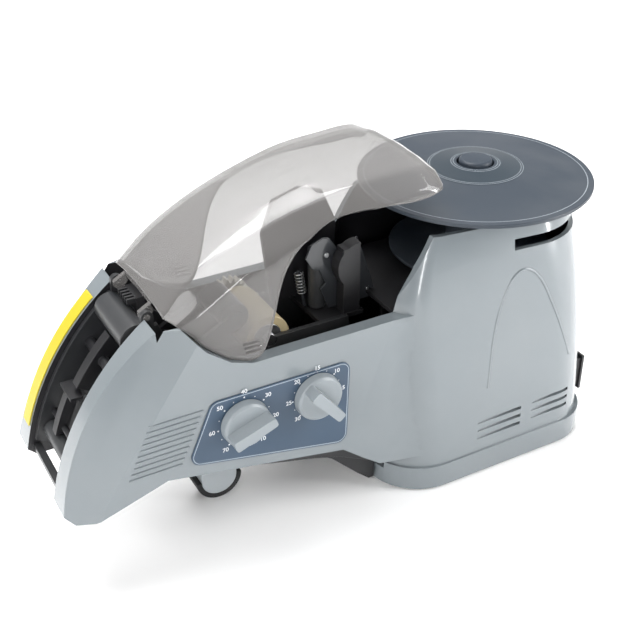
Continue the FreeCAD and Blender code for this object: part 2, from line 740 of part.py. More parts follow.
keep(
    turned(
        [
            ("cap_radius + cap_gap", "hub_top"),
            ("cap_radius + cap_gap + 2", "hub_top"),
            ("cap_radius + cap_gap + 2", "lid_rim_low + lid_rise - 0.6"),
            ("lid_radius - lid_land", "lid_rim_low"),
            ("lid_radius", "lid_rim_low"),
            ("lid_radius", f"{LID_TOP}"),
            ("lid_radius - lid_land", f"{LID_TOP}"),
            ("cap_radius + cap_gap", f"{LID_TOP} + lid_rise"),
        ],
        x="reel_x",
    ),
    "reel_lid",
)
keep(
    turned(
        [
            ("0", "hub_top + cap_travel + 2"),
            ("cap_radius + cap_gap - run_gap", "hub_top + cap_travel + 2"),
            ("cap_radius + cap_gap - run_gap", "hub_top + cap_travel + 4"),
            ("cap_radius", "hub_top + cap_travel + 4"),
            ("cap_radius", f"{LID_TOP} + lid_rise + 0.9"),
            ("cap_radius - 1", f"{LID_TOP} + lid_rise + 1.8"),
            ("0", f"{LID_TOP} + lid_rise + 2.2"),
        ],
        x="reel_x",
    ),
    "release_cap",
)

# ------------------------------------------------------------------ chassis
SPOTS = {
    "hinge": ("-hinge_x", "hinge_z"),
    "top": ("-top_roll_x", "top_roll_z"),
    "low": ("-low_roll_x", "low_roll_z"),
    "feed": ("-feed_x", "feed_z"),
    "arm": ("-arm_pivot_x", "arm_pivot_z"),
    "cutter": ("-cutter_x", "cutter_z"),
    "lever": ("-lever_x", "lever_z"),
    "idle": ("-feed_x + (feed_teeth + idle_teeth) / 2 * tooth * cos(mesh_angle * 1 deg)",
             "feed_z + (feed_teeth + idle_teeth) / 2 * tooth * sin(mesh_angle * 1 deg)"),
    "motor": ("-feed_x + (feed_teeth + 2 * idle_teeth + motor_teeth) / 2 * tooth * cos(mesh_angle * 1 deg)",
              "feed_z + (feed_teeth + 2 * idle_teeth + motor_teeth) / 2 * tooth * sin(mesh_angle * 1 deg)"),
}
BORES = {"hinge": "hinge_pin", "top": "journal", "low": "journal", "feed": "feed_axle", "arm": "journal", "cutter": "journal",
         "lever": "lever_pin"}
INNER = "plate_half - plate_thick"


def chassis_plate(low, high):
    plate = slab(
        "XZ",
        [
            ("-beak_front + 4", "50", "beak_curve - 2.4"),
            ("-98.5", "116.5"),
            ("-90", "117"),
            ("-86", "106"),
            ("-72", "97"),
            ("-58", "deck_top + 0.5"),
            ("4", "deck_top + 0.5"),
            ("8", "70"),
            ("-12", "35.8"),
            ("-95", "51.8"),
            ("-131", "48"),
            ("-137", "48"),
        ],
        low,
        high,
    )
    ear = fuse(
        rod("Y", "ear_radius", (low, high), SPOTS["hinge"]),
        box(("-hinge_x - ear_radius", "-hinge_x + ear_radius"), (low, high), ("110", "hinge_z")),
    )
    return cut(fuse(plate, ear), *[rod("Y", f"{radius} + run_gap", (f"{low} - 1", f"{high} + 1"), SPOTS[name])
                                   for name, radius in BORES.items()])


keep(chassis_plate("-plate_half", f"-({INNER})"), "chassis_near_plate")
keep(
    cut(chassis_plate(INNER, "plate_half"), rod("Y", "idle_pin", ("0", "30"), SPOTS["idle"]),
        rod("Y", "shaft + 0.5", ("0", "30"), SPOTS["motor"])),
    "chassis_far_plate",
)
keep(
    fuse(*[rod("Y", "2.5", (f"-({INNER})", INNER), spot) for spot in (("-88", "62"), ("-2", "86"), ("-70", "56"))]),
    "chassis_spacers",
)
keep(
    fuse(rod("Y", "idle_pin", (INNER, "gear_low + gear_wide + 0.3"), SPOTS["idle"]),
         rod("Y", "idle_pin + 2", ("gear_low + gear_wide + 0.3", "gear_low + gear_wide + 1.2"), SPOTS["idle"])),
    "idler_pin",
)
keep(
    cut(rod("Y", "motor_radius", ("-14", INNER), SPOTS["motor"]),
        rod("Y", "shaft + run_gap", ("8", "30"), SPOTS["motor"])),
    "feed_motor",
)
deck = box(("-10", "14"), (f"-({INNER}) + 0.1", f"{INNER} - 0.1"), ("deck_top - 2.5", "deck_top"))
post = box(("3", "12"), ("-16.5", "-10"), ("deck_top", "127"))
head = common(
    rod("Y", "12", ("-16.5", "-10"), ("12", "117")), box(("0", "12"), ("-20", "0"), ("105", "129"))
)
keep(fuse(deck, post, head), "twist_guide")
keep(
    slab(
        "XZ",
        [("-22", "deck_top + 0.6"), ("-26", "130"), ("-20", "146"), ("-6", "150"), ("6", "146"), ("13", "130"),
         ("13", "deck_top"), ("-9", "deck_top"), ("-9", "deck_top + 0.6")],
        "9", "12",
    ),
    "twist_guide_back",
)
keep(rod("Z", "1.5", ("deck_top", "126"), ("-4", "-3")), "twist_roller_pin")
keep(cut(rod("Z", "4.2", ("deck_top + 0.4", "124"), ("-4", "-3")), rod("Z", "1.5 + run_gap", ("80", "130"), ("-4", "-3"))),
     "twist_roller")
comb_base = fuse(box(("-92.5", "-88.5"), ("-1", INNER), ("113.5", "116.5")),
                 box(("-92.5", "-88.5"), ("-1", "12.6"), ("113.5", "121")))
keep(fuse(comb_base, *[box(("-96.5", "-92.5"), (f"-0.6 + {2.6 * n}", f"0.7 + {2.6 * n}"), ("118.3", "121"))
                       for n in range(5)]), "tape_comb")
keep(
    fuse(
        slab("XZ", [("-123.6", "84", "124"), ("-106", "106"), ("-101", "101"), ("-117.5", "80")], "-1", "5"),
        rod("Y", "2.5", (f"-({INNER})", INNER), ("-110", "94")),
    ),
    "guide_rib",
)
keep(box(("-121.5", "-117"), (f"-({INNER}) + 0.1", f"{INNER} - 0.1"), ("71.5", "72.5")), "fixed_blade")
keep(box(("-142", "-138.5"), ("-channel_half + 0.3", "channel_half - 0.3"), ("43", "46.5")), "beak_bottom_bar")
keep(box(("-72", "-62"), (f"-({INNER})", "-9"), ("62", "74")), "tape_sensor")

# ------------------------------------------------------------------ rollers and levers
ROLL_END = f"{INNER} - side_gap"


def roller(name, radius):
    """A plain roller with a journal at each end, carried in the two chassis plates."""
    return fuse(
        rod("Y", radius, (f"-({ROLL_END})", ROLL_END), SPOTS[name]),
        rod("Y", "journal", ("-plate_half + 0.3", "plate_half - 0.3"), SPOTS[name]),
    )


keep(roller("top", "top_roll"), "top_front_roller")
keep(roller("low", "low_roll"), "lower_front_roller")
keep(cut(rod("Y", "feed_roll", (f"-({ROLL_END})", ROLL_END), SPOTS["feed"]),
         rod("Y", "feed_core", ("-30", "30"), SPOTS["feed"])), "feed_roller_sleeve")
keep(
    fuse(rod("Y", "feed_core", (f"-({ROLL_END})", ROLL_END), SPOTS["feed"]),
         rod("Y", "feed_axle", ("-plate_half + 0.3", "gear_low + gear_wide + 0.5"), SPOTS["feed"])),
    "feed_roller_core",
)


def link(start, end, width, low, high):
    """A flat link between two pivots, with rounded ends."""
    x1, z1, x2, z2 = (size(v) for v in (*start, *end))
    run = math.hypot(x2 - x1, z2 - z1)
    side = (-(z2 - z1) / run, (x2 - x1) / run)
    corners = []
    for (x, z), way in ((start, 1), (end, 1), (end, -1), (start, -1)):
        corners.append((f"{x} + ({way * side[0]:.4f}) * ({width})", f"{z} + ({way * side[1]:.4f}) * ({width})"))
    return fuse(slab("XZ", corners, low, high), rod("Y", width, (low, high), start), rod("Y", width, (low, high), end))


PINCH = (
    "-feed_x - (feed_roll + pinch_roll + nip_gap) * cos(nip_angle * 1 deg)",
    "feed_z + (feed_roll + pinch_roll + nip_gap) * sin(nip_angle * 1 deg)",
)
keep(
    cut(
        fuse(
            link(SPOTS["arm"], PINCH, "4", "-14.5", "-12"),
            link(SPOTS["arm"], PINCH, "4", "12", "14.5"),
            rod("Y", "journal", ("-plate_half + 0.3", "plate_half - 0.3"), SPOTS["arm"]),
            rod("Y", "journal", ("-12", "12"), PINCH),
        ),
        rod("Y", "feed_roll + 2.5", ("-40", "40"), SPOTS["feed"]),
    ),
    "pinch_arm",
)
keep(cut(rod("Y", "pinch_roll", ("-11.5", "11.5"), PINCH), rod("Y", "journal + run_gap", ("-20", "20"), PINCH)),
     "pinch_roller")
BLADE_SEAT = ("-112", "77")
keep(
    fuse(
        link(SPOTS["cutter"], BLADE_SEAT, "3", "-14", "-11.5"),
        link(SPOTS["cutter"], BLADE_SEAT, "3", "11.5", "14"),
        rod("Y", "journal", ("-plate_half + 0.3", "plate_half - 0.3"), SPOTS["cutter"]),
    ),
    "cutter_lever",
)
keep(slab("XZ", [("-116", "76"), ("-111", "78.6"), ("-111", "79.8"), ("-116", "77.2")], "-11.5", "11.5"), "moving_blade")
keep(
    fuse(
        slab("XZ", [("-135.2", "60.2", "124"), ("-126.8", "80"), ("-122.2", "78"), ("-130", "60")], "2", "7"),
        box(("-127.5", "-121.6"), ("-3", "12"), ("79", "80.6")),
        rod("Y", "lever_pin", ("-plate_half + 0.3", "plate_half - 0.3"), SPOTS["lever"]),
    ),
    "tape_lever",
)

# ------------------------------------------------------------------ gears


def gear(name, teeth, bore, tooth_first):
    """A spur gear with straight-sided teeth; tooth_first puts a tooth, not a gap, on the mesh line."""
    body = doc.addObject("PartDesign::Body", "gear")
    disc = outline_circle(body, f"{teeth} / 2 * tooth - 1.15 * tooth")
    pad = body.newObject("PartDesign::Pad", "disc")
    pad.Profile = disc
    bind(pad, Length="gear_wide")
    pad.Reversed = True
    root, tip = f"{teeth} / 2 * tooth - 1.25 * tooth", f"{teeth} / 2 * tooth + 0.8 * tooth"
    profile = outline(body, "XZ", [(root, "-0.95 * tooth"), (tip, "-0.36 * tooth"), (tip, "0.36 * tooth"),
                                   (root, "0.95 * tooth")])
    one = body.newObject("PartDesign::Pad", "tooth")
    one.Profile = profile
    bind(one, Length="gear_wide")
    one.Reversed = True
    ring = body.newObject("PartDesign::PolarPattern", "teeth")
    ring.Originals = [one]
    ring.Axis = (disc, ["N_Axis"])
    ring.Angle = 360
    ring.Occurrences = int(size(teeth))
    body.Tip = ring
    start = size("mesh_angle") + (0 if tooth_first else 180 / size(teeth))
    body.Placement = FreeCAD.Placement(FreeCAD.Vector(), FreeCAD.Rotation(FreeCAD.Vector(0, -1, 0), start))
    place(body, SPOTS[name][0], "gear_low", SPOTS[name][1])
    return cut(body, rod("Y", bore, ("gear_low - 1", "gear_low + gear_wide + 1"), SPOTS[name]))


def outline_circle(body, radius):
    sketch = body.newObject("Sketcher::SketchObject", "circle")
    sketch.AttachmentSupport = [([o for o in body.Origin.OriginFeatures if o.Role == "XZ_Plane"][0], "")]
    sketch.MapMode = "FlatFace"
    sketch.addGeometry(Part.Circle(FreeCAD.Vector(), FreeCAD.Vector(0, 0, 1), size(radius)), False)
    sketch.addConstraint(Sketcher.Constraint("Coincident", 0, 3, -1, 1))
    spot = sketch.addConstraint(Sketcher.Constraint("Radius", 0, size(radius)))
    sketch.setExpression(f"Constraints[{spot}]", formula(radius))
    return sketch


keep(gear("feed", "feed_teeth", "feed_axle", True), "feed_gear")
keep(gear("idle", "idle_teeth", "idle_pin + run_gap", False), "idler_gear")
keep(gear("motor", "motor_teeth", "shaft", True), "motor_pinion")
keep(rod("Y", "shaft", ("9", "gear_low + gear_wide + 0.5"), SPOTS["motor"]), "motor_shaft")

# ------------------------------------------------------------------ tower electrics
board_top = "plate_low + base_thick + 5"
standoffs = [rod("Z", "2.4", ("plate_low + base_thick", "plate_low + base_thick + 3.4"), (x, y))
             for x in ("66", "108") for y in ("-24", "24")]
keep(fuse(box(("60", "114"), ("-29", "29"), ("plate_low + base_thick + 3.4", board_top)), *standoffs), "control_board")
keep(box(("72", "104"), ("4", "26"), (board_top, f"{board_top} + 22")), "power_module")
keep(
    fuse(*[box((f"{x}", f"{x} + {w}"), (f"{y}", f"{y} + {d}"), (board_top, f"{board_top} + {t}"))
           for x, y, w, d, t in ((66, -22, 14, 8, 4), (84, -22, 6, 6, 9), (94, -22, 8, 8, 12), (66, -8, 10, 6, 3))]),
    "board_components",
)
switch_rear = "tower_rear - 1.1"
switch_case = cut(
    fuse(
        box(("tower_rear - 16", switch_rear), ("-switch_y - 6.4", "-switch_y + 6.4"), ("switch_z - 8.8", "switch_z + 8.8")),
        box((switch_rear, f"{switch_rear} + 1.4"), ("-switch_y - 7.4", "-switch_y + 7.4"),
            ("switch_z - 10.4", "switch_z + 10.4")),
    ),
    box(("tower_rear - 9", "tower_rear + 4"), ("-switch_y - 4.9", "-switch_y + 4.9"), ("switch_z - 7.9", "switch_z + 7.9")),
    rod("Y", "1 + run_gap", ("-switch_y - 6", "-switch_y + 6"), ("tower_rear - 3.4", "switch_z")),
)
keep(switch_case, "switch_housing")
rocker = slab(
    "XZ",
    [("-1.5", "-2"), ("-1.5", "2"), ("1.2", "6.3"), ("5.2", "6.6"), ("6.2", "0"), ("5.2", "-6.6"), ("1.2", "-6.3")],
    "0",
    "9",
)
rocker.Placement = FreeCAD.Placement(FreeCAD.Vector(), FreeCAD.Rotation(FreeCAD.Vector(0, 1, 0), -10))
place(rocker, "tower_rear - 3.4", "-switch_y - 4.5", "switch_z")
rocker_pin = rod("Y", "1", ("-switch_y - 5.7", "-switch_y + 5.7"), ("tower_rear - 3.4", "switch_z"))
keep(fuse(rocker, rocker_pin), "power_rocker")
inlet_face = "tower_rear - 1.6"
keep(
    fuse(
        cut(box(("tower_rear - 16", inlet_face), ("inlet_y - 4.8", "inlet_y + 4.8"), ("inlet_z - 4.8", "inlet_z + 4.8")),
            rod("X", "2.75", (f"{inlet_face} - 9", f"{inlet_face} + 1"), ("inlet_y", "inlet_z"))),
        rod("X", "1.05", (f"{inlet_face} - 9.5", f"{inlet_face} - 1"), ("inlet_y", "inlet_z")),
    ),
    "power_inlet",
)

# ------------------------------------------------------------------ check and write
doc.recompute()
for thing in doc.Objects:
    if "Invalid" in thing.State or "Error" in thing.State:
        raise RuntimeError(f"{thing.Label} did not build: {thing.State}")
for node, thing in made.items():
    if thing.Shape.isNull() or not thing.Shape.isValid():
        raise RuntimeError(f"{node} has no sound shape")
os.makedirs("parts", exist_ok=True)
for node, thing in made.items():
    thing.Shape.exportStep(f"parts/{node}.step")
    print(f"{node}: {len(thing.Shape.Solids)} solids, {thing.Shape.Volume:.0f} cubic millimetres")
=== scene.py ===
import json
import math

import bmesh
import bpy
from mathutils import Matrix, Vector
from mathutils.bvhtree import BVHTree

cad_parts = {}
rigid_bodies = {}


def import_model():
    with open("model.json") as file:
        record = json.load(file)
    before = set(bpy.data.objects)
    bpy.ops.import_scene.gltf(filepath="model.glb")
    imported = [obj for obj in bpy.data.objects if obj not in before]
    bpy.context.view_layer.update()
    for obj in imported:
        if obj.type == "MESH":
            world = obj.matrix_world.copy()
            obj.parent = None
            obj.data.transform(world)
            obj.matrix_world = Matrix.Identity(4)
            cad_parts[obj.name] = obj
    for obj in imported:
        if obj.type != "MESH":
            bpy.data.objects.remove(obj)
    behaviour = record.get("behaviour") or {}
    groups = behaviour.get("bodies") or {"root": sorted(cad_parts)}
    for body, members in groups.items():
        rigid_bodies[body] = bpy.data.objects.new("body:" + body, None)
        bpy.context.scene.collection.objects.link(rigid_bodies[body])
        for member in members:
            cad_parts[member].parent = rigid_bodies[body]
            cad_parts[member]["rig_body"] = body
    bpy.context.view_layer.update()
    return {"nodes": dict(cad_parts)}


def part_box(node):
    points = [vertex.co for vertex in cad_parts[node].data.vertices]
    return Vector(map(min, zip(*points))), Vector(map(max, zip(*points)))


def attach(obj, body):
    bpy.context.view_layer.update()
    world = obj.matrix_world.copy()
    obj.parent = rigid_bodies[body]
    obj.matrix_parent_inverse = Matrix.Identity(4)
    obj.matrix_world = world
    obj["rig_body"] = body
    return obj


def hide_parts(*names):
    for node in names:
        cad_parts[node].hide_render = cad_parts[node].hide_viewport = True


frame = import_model()

# ------------------------------------------------------------------ two side shells
# The housing is two thick shells of glossy blue-grey ABS, moulded with a little draft and soft
# edges, and screwed together along the middle. They carry everything else.


def moulded(node, edge, material, steps=3, angle=32):
    """A shown copy of a made piece whose edges are broken by a small radius, as a mould leaves them."""
    source = frame["nodes"][node]
    piece = bpy.data.objects.new(node + "_shown", source.data.copy())
    bpy.context.scene.collection.objects.link(piece)
    mesh = bmesh.new()
    mesh.from_mesh(piece.data)
    bmesh.ops.remove_doubles(mesh, verts=mesh.verts, dist=0.000004)
    bmesh.ops.dissolve_limit(mesh, angle_limit=math.radians(0.8), verts=mesh.verts, edges=mesh.edges)
    mesh.to_mesh(piece.data)
    mesh.free()
    piece.data.materials.clear()
    piece.data.materials.append(material)
    if edge:
        bevel = piece.modifiers.new("broken edges", "BEVEL")
        bevel.width = edge
        bevel.segments = steps
        bevel.limit_method = "ANGLE"
        bevel.angle_limit = math.radians(angle)
        bevel.use_clamp_overlap = True
        bevel.harden_normals = True
    piece.data.shade_smooth()
    piece.data.set_sharp_from_angle(angle=math.radians(angle))
    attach(piece, source["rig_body"])
    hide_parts(node)
    return piece


def moulding_texture():
    """Fine orange-peel of a moulded surface, faint dust and small handling marks."""
    group = bpy.data.node_groups.new("moulding texture", "ShaderNodeTree")
    for name, kind, value in (
        ("Colour", "NodeSocketColor", (0.3, 0.33, 0.35, 1)),
        ("Dust", "NodeSocketFloat", 0.05),
        ("Roughness", "NodeSocketFloat", 0.25),
        ("Peel", "NodeSocketFloat", 0.1),
        ("Scale", "NodeSocketFloat", 1.0),
    ):
        socket = group.interface.new_socket(name, in_out="INPUT", socket_type=kind)
        socket.default_value = value
    outputs = {"Colour": "NodeSocketColor", "Roughness": "NodeSocketFloat", "Normal": "NodeSocketVector"}
    for name, kind in outputs.items():
        group.interface.new_socket(name, in_out="OUTPUT", socket_type=kind)
    nodes, links = group.nodes, group.links
    inp = nodes.new("NodeGroupInput")
    out = nodes.new("NodeGroupOutput")
    place = nodes.new("ShaderNodeTexCoord")
    scaled = nodes.new("ShaderNodeVectorMath")
    scaled.operation = "SCALE"
    links.new(place.outputs["Object"], scaled.inputs[0])
    links.new(inp.outputs["Scale"], scaled.inputs["Scale"])
    cloud = nodes.new("ShaderNodeTexNoise")
    cloud.inputs["Scale"].default_value = 22
    cloud.inputs["Detail"].default_value = 5
    links.new(scaled.outputs[0], cloud.inputs["Vector"])
    cloud_range = nodes.new("ShaderNodeMapRange")
    cloud_range.inputs["From Min"].default_value = 0.42
    cloud_range.inputs["From Max"].default_value = 0.72
    links.new(cloud.outputs["Fac"], cloud_range.inputs["Value"])
    dust = nodes.new("ShaderNodeMath")
    dust.operation = "MULTIPLY"
    links.new(cloud_range.outputs[0], dust.inputs[0])
    links.new(inp.outputs["Dust"], dust.inputs[1])
    mix = nodes.new("ShaderNodeMix")
    mix.data_type = "RGBA"
    links.new(dust.outputs[0], mix.inputs["Factor"])
    links.new(inp.outputs["Colour"], mix.inputs["A"])
    mix.inputs["B"].default_value = (0.62, 0.6, 0.56, 1)
    links.new(mix.outputs["Result"], out.inputs["Colour"])
    fine = nodes.new("ShaderNodeTexNoise")
    fine.inputs["Scale"].default_value = 900
    fine.inputs["Detail"].default_value = 3
    links.new(scaled.outputs[0], fine.inputs["Vector"])
    spread = nodes.new("ShaderNodeMapRange")
    spread.inputs["To Min"].default_value = -0.05
    spread.inputs["To Max"].default_value = 0.07
    links.new(cloud.outputs["Fac"], spread.inputs["Value"])
    rough = nodes.new("ShaderNodeMath")
    rough.operation = "ADD"
    links.new(inp.outputs["Roughness"], rough.inputs[0])
    links.new(spread.outputs[0], rough.inputs[1])
    links.new(rough.outputs[0], out.inputs["Roughness"])
    bump = nodes.new("ShaderNodeBump")
    bump.inputs["Distance"].default_value = 0.00006
    links.new(inp.outputs["Peel"], bump.inputs["Strength"])
    links.new(fine.outputs["Fac"], bump.inputs["Height"])
    links.new(bump.outputs["Normal"], out.inputs["Normal"])
    return group


MOULDING = moulding_texture()


def plastic(name, colour, roughness, dust=0.04, peel=0.1, coat=0.0, scale=1.0, specular=0.5):
    """Moulded plastic or rubber of one colour."""
    material = bpy.data.materials.new(name)
    material.use_nodes = True
    nodes, links = material.node_tree.nodes, material.node_tree.links
    shader = nodes["Principled BSDF"]
    surface = nodes.new("ShaderNodeGroup")
    surface.node_tree = MOULDING
    surface.inputs["Colour"].default_value = (*colour, 1)
    surface.inputs["Dust"].default_value = dust
    surface.inputs["Roughness"].default_value = roughness
    surface.inputs["Peel"].default_value = peel
    surface.inputs["Scale"].default_value = scale
    links.new(surface.outputs["Colour"], shader.inputs["Base Color"])
    links.new(surface.outputs["Roughness"], shader.inputs["Roughness"])
    links.new(surface.outputs["Normal"], shader.inputs["Normal"])
    shader.inputs["Coat Weight"].default_value = coat
    shader.inputs["Coat Roughness"].default_value = 0.06
    shader.inputs["Specular IOR Level"].default_value = specular
    return material


housing_plastic = plastic("blue-grey housing plastic", (0.168, 0.192, 0.206), 0.20, dust=0.03, coat=0.6)
near_shell = moulded("near_side_shell", 0.0011, housing_plastic)
far_shell = moulded("far_side_shell", 0.0011, housing_plastic)
# Black plastic for the black parts; the same material also paints shade on the shells' inner faces.
black_plastic_and_shade = plastic("fine-grained black plastic and painted shade", (0.010, 0.010, 0.012), 0.42, dust=0.02, peel=0.35)


SHELLS = ((-1, near_shell), (1, far_shell))
TOWER_FRONT = 0.035
INWARD = 0.35


def middle_of(node):
    """The middle of a made piece's box."""
    low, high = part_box(node)
    return (low + high) / 2


def paint_shade_inside(piece, side, wall=0.0024):
    """Paints shade on a shell's inner faces: those that face the reel's axis, the middle or the ground take
    the black material in place of the housing colour.
    """
    piece.data.materials.append(black_plastic_and_shade)
    axis = middle_of("reel_hub")
    for face in piece.data.polygons:
        middle, way = face.center, face.normal
        to_axis = Vector((axis.x - middle.x, axis.y - middle.y, 0)).normalized()
        round_tower = middle.x > TOWER_FRONT and way.dot(to_axis) > INWARD
        beak_end = middle.x < -0.088 and middle.z > 0.1
        off_middle = middle.x <= TOWER_FRONT and abs(middle.y) > wall
        flat_wall = off_middle and way.y * side < -INWARD and not beak_end
        under_face = way.z < -0.5 and middle.z > 0.02
        if round_tower or flat_wall or under_face:
            face.material_index = 1


# Painted shade: the inner and downward faces of both shells are made black.
for side, shell in SHELLS:
    paint_shade_inside(shell, side)


def added(name, mesh, material, body):
    """A piece made here from a mesh, in one material: it rides a body."""
    mesh.materials.clear()
    mesh.materials.append(material)
    piece = bpy.data.objects.new(name, mesh)
    bpy.context.scene.collection.objects.link(piece)
    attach(piece, body)
    return piece


def softened(piece, width, segments=2, sharper_than=None):
    """Rounds a piece's edges, or only those sharper than an angle in degrees."""
    bevel = piece.modifiers.new("soft edge", "BEVEL")
    bevel.width = width
    bevel.segments = segments
    if sharper_than:
        bevel.limit_method = "ANGLE"
        bevel.angle_limit = math.radians(sharper_than)


def block_mesh(name, low, high):
    """A plain block between two corners."""
    mesh = bpy.data.meshes.new(name)
    form = bmesh.new()
    bmesh.ops.create_cube(form, size=1)
    low, high = Vector(low), Vector(high)
    bmesh.ops.scale(form, vec=high - low, verts=form.verts)
    bmesh.ops.translate(form, vec=(low + high) / 2, verts=form.verts)
    form.to_mesh(mesh)
    form.free()
    return mesh


def drawn_mesh(curve):
    """The mesh of a curve or of lettering."""
    shape = bpy.data.objects.new("drawn shape", curve)
    bpy.context.scene.collection.objects.link(shape)
    bpy.context.view_layer.update()
    mesh = bpy.data.meshes.new_from_object(shape.evaluated_get(bpy.context.evaluated_depsgraph_get()))
    bpy.data.objects.remove(shape)
    return mesh


def surface_of(mesh):
    """A mesh's surface, for finding where something lies on it."""
    return BVHTree.FromPolygons([v.co for v in mesh.vertices], [f.vertices[:] for f in mesh.polygons])


# Ten fine ribs moulded on the flat of each side, between the beak and the panel. The ribs' ends
# lean forwards from the top rib to the bottom one.
RIB_COUNT = 10
RIB_TOP = {"front": -0.1055, "back": -0.0802, "height": 0.0815}
RIB_BOTTOM = {"front": -0.1165, "back": -0.0918, "height": 0.0567}
RIB_TALL, RIB_DEEP = 0.0009, 0.0012
FLAT_SIDE = 0.0400
for side in (-1, 1):
    for n in range(RIB_COUNT):
        share = n / (RIB_COUNT - 1)
        rib = {edge: RIB_TOP[edge] + (RIB_BOTTOM[edge] - RIB_TOP[edge]) * share for edge in RIB_TOP}
        low = (rib["front"], side * FLAT_SIDE - RIB_DEEP / 2, rib["height"] - RIB_TALL / 2)
        high = (rib["back"], side * FLAT_SIDE + RIB_DEEP / 2, rib["height"] + RIB_TALL / 2)
        rib_mesh = block_mesh("side_rib", low, high)
        rib_mesh.shade_smooth()
        softened(added(f"side_rib_{n}", rib_mesh, housing_plastic, "housing"), 0.0004, 3)

# Each louvre slot has a slanting blade behind it, shallow at its front end and deep at its rear.
LOUVRE_GROUPS = (
    # front end, lowest slot, length
    (0.061, 0.021, 0.027),
    (0.095, 0.022, 0.024),
)
SLOT_STEP, SLOT_TALL = 0.0046, 0.0018
BLADE_SHALLOW, BLADE_DEEP, BLADE_THICK = 0.0002, 0.0019, 0.0004
BLADE_SHARE = 0.93
BEYOND = 0.2


def louvre_blade(wall, side, start, end, low):
    """One blade: a thin slanting plate that closes a slot and leaves its rear end open."""
    ends = []
    for x, depth in ((start, BLADE_SHALLOW), (end, BLADE_DEEP)):
        above_slot = Vector((x, side * BEYOND, low + SLOT_TALL / 2 + SLOT_STEP / 2))
        face = wall.ray_cast(above_slot, Vector((0, -side, 0)))[0]
        ends.append((x, face.y - side * depth))
    points = [(x, y, z) for z in (low, low + SLOT_TALL) for x, y in ends]
    points += [(x, y - side * BLADE_THICK, z) for x, y, z in points]
    faces = [(0, 1, 3, 2), (4, 6, 7, 5), (0, 4, 5, 1), (2, 3, 7, 6), (0, 2, 6, 4), (1, 5, 7, 3)]
    mesh = bpy.data.meshes.new("louvre_blade")
    mesh.from_pydata(points, [], faces)
    added("louvre_blade", mesh, housing_plastic, "housing")


for side, shell in SHELLS:
    wall = surface_of(shell.data)
    for start, low, length in LOUVRE_GROUPS:
        for n in range(3):
            louvre_blade(wall, side, start, start + length * BLADE_SHARE, low + SLOT_STEP * n)

# A tall arch is raised on each side of the tower as a fine crease that follows the wall.
ARCH = (
    (66.3, 49.6), (67.4, 62), (68.8, 76), (71.4, 88), (75.0, 98), (80.0, 106), (86.7, 109.2),
    (93.6, 105.4), (98.8, 97), (103.4, 87), (108.4, 76), (113.2, 64), (117.3, 53.5),
)


SUNK = 0.45


def crease(name, line, side, shell, radius):
    """A fine raised line on the outside of a shell, sunk nearly half into the wall."""
    wall = surface_of(shell.data)
    curve = bpy.data.curves.new(name, "CURVE")
    curve.dimensions = "3D"
    curve.bevel_depth = radius
    curve.bevel_resolution = 3
    curve.resolution_u = 6
    spline = curve.splines.new("NURBS")
    spline.points.add(len(line) - 1)
    spline.use_endpoint_u = True
    spline.order_u = 3
    for point, (x, z) in zip(spline.points, line):
        hit = wall.ray_cast(Vector((x / 1000, side * BEYOND, z / 1000)), Vector((0, -side, 0)))[0]
        point.co = (hit.x, hit.y - side * radius * SUNK, hit.z, 1)
    mesh = drawn_mesh(curve)
    mesh.shade_smooth()
    added(name, mesh, housing_plastic, "housing")


for side, shell in SHELLS:
    crease("tower_arch", ARCH, side, shell, 0.0009)

# ------------------------------------------------------------------ clear cover
# A thin smoked acrylic lid over the tape path, hinged behind the beak. It is moulded in one piece
# with soft creases along its crown, and its skirts are cut to a sweeping line on both sides.

COVER_RIBS = (
    # x, crease height, crease half width, shoulder height, skirt half width, in millimetres
    (-91, 125, 27.6, 119, 33),
    (-76, 139.5, 26, 128, 36.5),
    (-56, 151, 26, 140, 38.5),
    (-36, 158, 27.2, 148, 39.2),
    (-8, 164.5, 29.6, 155, 39.4),
    (16, 166.6, 29.9, 158, 39.4),
    (30, 167.2, 30, 159, 39.3),
    (38, 165.6, 29.4, 158.4, 38.6),
    (43, 162.6, 28.3, 156.4, 37.2),
)
SKIRT_LINE = (
    # x, height of the lower edge
    (-91, 124.5), (-88, 122.8), (-84, 119.4), (-80, 114.6), (-76.5, 110.6), (-72, 106.6), (-66, 102.2),
    (-61, 99.8), (-57, 98.6), (-53, 98.7), (-50, 101), (-47.6, 106), (-45.6, 112), (-43.6, 120), (-41.6, 129),
    (-38.4, 138), (-33, 146), (-26, 151.2), (-14, 155.9), (0, 157.4), (12, 156.6), (24, 155.6), (35, 156.2),
    (43, 158.2),
)


HALF_STEPS = 40


def through(table, x, column):
    """A smooth value between the rows of a table (Catmull-Rom on uneven steps, never overshooting)."""
    rows = [row[0] for row in table]
    spot = min(max(x, rows[0]), rows[-1])
    n = max(i for i in range(len(rows) - 1) if rows[i] <= spot)
    p1, p2 = table[n], table[n + 1]
    p0, p3 = table[max(n - 1, 0)], table[min(n + 2, len(table) - 1)]
    span = p2[0] - p1[0]
    t = (spot - p1[0]) / span
    m1 = (p2[column] - p0[column]) / (p2[0] - p0[0]) * span
    m2 = (p3[column] - p1[column]) / (p3[0] - p1[0]) * span
    t2, t3 = t * t, t * t * t
    value = ((2 * t3 - 3 * t2 + 1) * p1[column] + (t3 - 2 * t2 + t) * m1
             + (-2 * t3 + 3 * t2) * p2[column] + (t3 - t2) * m2)
    return value


def evenly(path, count):
    """The same path with its points spaced evenly along it."""
    length = [0]
    for here, after in zip(path, path[1:]):
        length.append(length[-1] + math.dist(here, after))
    even = []
    for k in range(count + 1):
        want = length[-1] * k / count
        n = max(i for i in range(len(length) - 1) if length[i] <= want + 1e-9)
        share = (want - length[n]) / max(length[n + 1] - length[n], 1e-9)
        even.append(tuple(path[n][c] + (path[n + 1][c] - path[n][c]) * share for c in (0, 1)))
    return even


